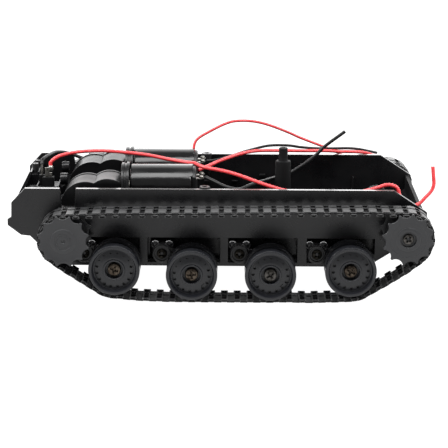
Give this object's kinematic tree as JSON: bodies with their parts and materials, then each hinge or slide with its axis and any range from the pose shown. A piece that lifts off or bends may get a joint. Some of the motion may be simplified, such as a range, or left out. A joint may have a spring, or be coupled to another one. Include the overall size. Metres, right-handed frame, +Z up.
{
  "type": "tracked robot chassis",
  "caption": "Low tracked robot chassis: moulded tub, two geared motors, rubber tracks on scalloped sprockets, sprung trailing-arm road wheels and loose motor leads.",
  "frame": {"origin": "on the ground, under the middle of the chassis without its wires", "axes": "+X towards the idler end, +Y towards the left-hand track, +Z up"},
  "size_m": [0.181, 0.106, 0.0632],
  "materials": {
    "black_plastic": "satin moulded",
    "gearbox_plastic": "semi-gloss moulded",
    "end_bell_plastic": "satin moulded",
    "wheel_plastic": "matt moulded, slightly blue grey",
    "track_rubber": "matt rubber",
    "motor_sleeve": "thin satin film",
    "gear_plastic": "natural nylon",
    "screw_steel": "worn zinc plate",
    "plated_lug": "tinned brass",
    "red_insulation": "smooth pvc",
    "black_insulation": "smooth pvc"
  },
  "bodies": {
    "root": {"hull_tub": "black_plastic", "deck_post": "black_plastic", "terminal_red": "plated_lug", "terminal_black": "plated_lug", "gearbox_case_right": "gearbox_plastic", "gearbox_cover_right": "gearbox_plastic", "motor_right": "motor_sleeve", "motor_end_bell_right": "end_bell_plastic", "motor_clip_right": "gearbox_plastic", "track_right": "track_rubber", "idler_screw_right": "screw_steel", "gearbox_case_left": "gearbox_plastic", "gearbox_cover_left": "gearbox_plastic", "motor_left": "motor_sleeve", "motor_end_bell_left": "end_bell_plastic", "motor_clip_left": "gearbox_plastic", "track_left": "track_rubber", "idler_screw_left": "screw_steel", "wire_red_left_motor": "red_insulation", "wire_red_right_motor": "red_insulation", "wire_black_left_motor": "black_insulation", "wire_black_right_motor": "black_insulation", "wire_red_supply": "red_insulation", "wire_black_supply": "black_insulation"},
    "drive_right": {"drive_sprocket_right": "wheel_plastic", "output_gear_right": "gear_plastic"},
    "cluster_right": {"cluster_gear_right": "gear_plastic"},
    "crown_right": {"crown_gear_right": "gear_plastic"},
    "pinion_right": {"motor_pinion_right": "screw_steel"},
    "idler_right": {"idler_sprocket_right": "wheel_plastic"},
    "arm_right_1": {"arm_right_1": "black_plastic", "wheel_screw_right_1": "screw_steel"},
    "wheel_right_1": {"road_wheel_right_1": "wheel_plastic"},
    "arm_right_2": {"arm_right_2": "black_plastic", "wheel_screw_right_2": "screw_steel"},
    "wheel_right_2": {"road_wheel_right_2": "wheel_plastic"},
    "arm_right_3": {"arm_right_3": "black_plastic", "wheel_screw_right_3": "screw_steel"},
    "wheel_right_3": {"road_wheel_right_3": "wheel_plastic"},
    "arm_right_4": {"arm_right_4": "black_plastic", "wheel_screw_right_4": "screw_steel"},
    "wheel_right_4": {"road_wheel_right_4": "wheel_plastic"},
    "drive_left": {"drive_sprocket_left": "wheel_plastic", "output_gear_left": "gear_plastic"},
    "cluster_left": {"cluster_gear_left": "gear_plastic"},
    "crown_left": {"crown_gear_left": "gear_plastic"},
    "pinion_left": {"motor_pinion_left": "screw_steel"},
    "idler_left": {"idler_sprocket_left": "wheel_plastic"},
    "arm_left_1": {"arm_left_1": "black_plastic", "wheel_screw_left_1": "screw_steel"},
    "wheel_left_1": {"road_wheel_left_1": "wheel_plastic"},
    "arm_left_2": {"arm_left_2": "black_plastic", "wheel_screw_left_2": "screw_steel"},
    "wheel_left_2": {"road_wheel_left_2": "wheel_plastic"},
    "arm_left_3": {"arm_left_3": "black_plastic", "wheel_screw_left_3": "screw_steel"},
    "wheel_left_3": {"road_wheel_left_3": "wheel_plastic"},
    "arm_left_4": {"arm_left_4": "black_plastic", "wheel_screw_left_4": "screw_steel"},
    "wheel_left_4": {"road_wheel_left_4": "wheel_plastic"}
  },
  "joints": [
    {"name": "drive_right_spin", "type": "hinge", "parent": "root", "child": "drive_right", "pos_m": [-0.0643, -0.0452, 0.02655], "axis": [0, 1, 0], "continuous": true},
    {"name": "cluster_right_spin", "type": "hinge", "parent": "root", "child": "cluster_right", "pos_m": [-0.057, -0.0225, 0.0352], "axis": [0, 1, 0], "continuous": true},
    {"name": "crown_right_spin", "type": "hinge", "parent": "root", "child": "crown_right", "pos_m": [-0.04806, -0.0195, 0.0407], "axis": [0, 1, 0], "continuous": true},
    {"name": "pinion_right_spin", "type": "hinge", "parent": "root", "child": "pinion_right", "pos_m": [-0.0445, -0.015, 0.0407], "axis": [1, 0, 0], "continuous": true},
    {"name": "idler_right_spin", "type": "hinge", "parent": "root", "child": "idler_right", "pos_m": [0.07825, -0.0452, 0.0283], "axis": [0, 1, 0], "continuous": true},
    {"name": "arm_right_1_swing", "type": "hinge", "parent": "root", "child": "arm_right_1", "pos_m": [-0.0569, -0.0364, 0.01735], "axis": [0, -1, 0], "range_deg": [0, 18], "stiffness_Nm_per_rad": 0.06, "springref_deg": -20.05},
    {"name": "wheel_right_1_spin", "type": "hinge", "parent": "arm_right_1", "child": "wheel_right_1", "pos_m": [-0.04343, -0.0462, 0.01436], "axis": [0, 1, 0], "continuous": true},
    {"name": "arm_right_2_swing", "type": "hinge", "parent": "root", "child": "arm_right_2", "pos_m": [-0.02413, -0.0364, 0.01735], "axis": [0, -1, 0], "range_deg": [0, 18], "stiffness_Nm_per_rad": 0.06, "springref_deg": -20.05},
    {"name": "wheel_right_2_spin", "type": "hinge", "parent": "arm_right_2", "child": "wheel_right_2", "pos_m": [-0.01123, -0.0462, 0.01245], "axis": [0, 1, 0], "continuous": true},
    {"name": "arm_right_3_swing", "type": "hinge", "parent": "root", "child": "arm_right_3", "pos_m": [0.00864, -0.0364, 0.01735], "axis": [0, -1, 0], "range_deg": [0, 18], "stiffness_Nm_per_rad": 0.06, "springref_deg": -20.05},
    {"name": "wheel_right_3_spin", "type": "hinge", "parent": "arm_right_3", "child": "wheel_right_3", "pos_m": [0.02154, -0.0462, 0.01245], "axis": [0, 1, 0], "continuous": true},
    {"name": "arm_right_4_swing", "type": "hinge", "parent": "root", "child": "arm_right_4", "pos_m": [0.04141, -0.0364, 0.01735], "axis": [0, -1, 0], "range_deg": [0, 18], "stiffness_Nm_per_rad": 0.06, "springref_deg": -20.05},
    {"name": "wheel_right_4_spin", "type": "hinge", "parent": "arm_right_4", "child": "wheel_right_4", "pos_m": [0.05486, -0.0462, 0.01425], "axis": [0, 1, 0], "continuous": true},
    {"name": "drive_left_spin", "type": "hinge", "parent": "root", "child": "drive_left", "pos_m": [-0.0643, 0.0452, 0.02655], "axis": [0, 1, 0], "continuous": true},
    {"name": "cluster_left_spin", "type": "hinge", "parent": "root", "child": "cluster_left", "pos_m": [-0.057, 0.0225, 0.0352], "axis": [0, 1, 0], "continuous": true},
    {"name": "crown_left_spin", "type": "hinge", "parent": "root", "child": "crown_left", "pos_m": [-0.04806, 0.0195, 0.0407], "axis": [0, 1, 0], "continuous": true},
    {"name": "pinion_left_spin", "type": "hinge", "parent": "root", "child": "pinion_left", "pos_m": [-0.0445, 0.015, 0.0407], "axis": [1, 0, 0], "continuous": true},
    {"name": "idler_left_spin", "type": "hinge", "parent": "root", "child": "idler_left", "pos_m": [0.07825, 0.0452, 0.0283], "axis": [0, 1, 0], "continuous": true},
    {"name": "arm_left_1_swing", "type": "hinge", "parent": "root", "child": "arm_left_1", "pos_m": [-0.0569, 0.0364, 0.01735], "axis": [0, -1, 0], "range_deg": [0, 18], "stiffness_Nm_per_rad": 0.06, "springref_deg": -20.05},
    {"name": "wheel_left_1_spin", "type": "hinge", "parent": "arm_left_1", "child": "wheel_left_1", "pos_m": [-0.04343, 0.0462, 0.01436], "axis": [0, 1, 0], "continuous": true},
    {"name": "arm_left_2_swing", "type": "hinge", "parent": "root", "child": "arm_left_2", "pos_m": [-0.02413, 0.0364, 0.01735], "axis": [0, -1, 0], "range_deg": [0, 18], "stiffness_Nm_per_rad": 0.06, "springref_deg": -20.05},
    {"name": "wheel_left_2_spin", "type": "hinge", "parent": "arm_left_2", "child": "wheel_left_2", "pos_m": [-0.01123, 0.0462, 0.01245], "axis": [0, 1, 0], "continuous": true},
    {"name": "arm_left_3_swing", "type": "hinge", "parent": "root", "child": "arm_left_3", "pos_m": [0.00864, 0.0364, 0.01735], "axis": [0, -1, 0], "range_deg": [0, 18], "stiffness_Nm_per_rad": 0.06, "springref_deg": -20.05},
    {"name": "wheel_left_3_spin", "type": "hinge", "parent": "arm_left_3", "child": "wheel_left_3", "pos_m": [0.02154, 0.0462, 0.01245], "axis": [0, 1, 0], "continuous": true},
    {"name": "arm_left_4_swing", "type": "hinge", "parent": "root", "child": "arm_left_4", "pos_m": [0.04141, 0.0364, 0.01735], "axis": [0, -1, 0], "range_deg": [0, 18], "stiffness_Nm_per_rad": 0.06, "springref_deg": -20.05},
    {"name": "wheel_left_4_spin", "type": "hinge", "parent": "arm_left_4", "child": "wheel_left_4", "pos_m": [0.05486, 0.0462, 0.01425], "axis": [0, 1, 0], "continuous": true}
  ],
  "couplings": [
    {"joint": "cluster_right_spin", "follows": "drive_right_spin", "ratio": -2.2},
    {"joint": "crown_right_spin", "follows": "drive_right_spin", "ratio": 7.2286},
    {"joint": "pinion_right_spin", "follows": "drive_right_spin", "ratio": -16.867},
    {"joint": "idler_right_spin", "follows": "drive_right_spin", "ratio": 1},
    {"joint": "wheel_right_1_spin", "follows": "drive_right_spin", "ratio": 0.971},
    {"joint": "wheel_right_2_spin", "follows": "drive_right_spin", "ratio": 0.971},
    {"joint": "wheel_right_3_spin", "follows": "drive_right_spin", "ratio": 0.971},
    {"joint": "wheel_right_4_spin", "follows": "drive_right_spin", "ratio": 0.971},
    {"joint": "cluster_left_spin", "follows": "drive_left_spin", "ratio": -2.2},
    {"joint": "crown_left_spin", "follows": "drive_left_spin", "ratio": 7.2286},
    {"joint": "pinion_left_spin", "follows": "drive_left_spin", "ratio": 16.867},
    {"joint": "idler_left_spin", "follows": "drive_left_spin", "ratio": 1},
    {"joint": "wheel_left_1_spin", "follows": "drive_left_spin", "ratio": 0.971},
    {"joint": "wheel_left_2_spin", "follows": "drive_left_spin", "ratio": 0.971},
    {"joint": "wheel_left_3_spin", "follows": "drive_left_spin", "ratio": 0.971},
    {"joint": "wheel_left_4_spin", "follows": "drive_left_spin", "ratio": 0.971}
  ]
}
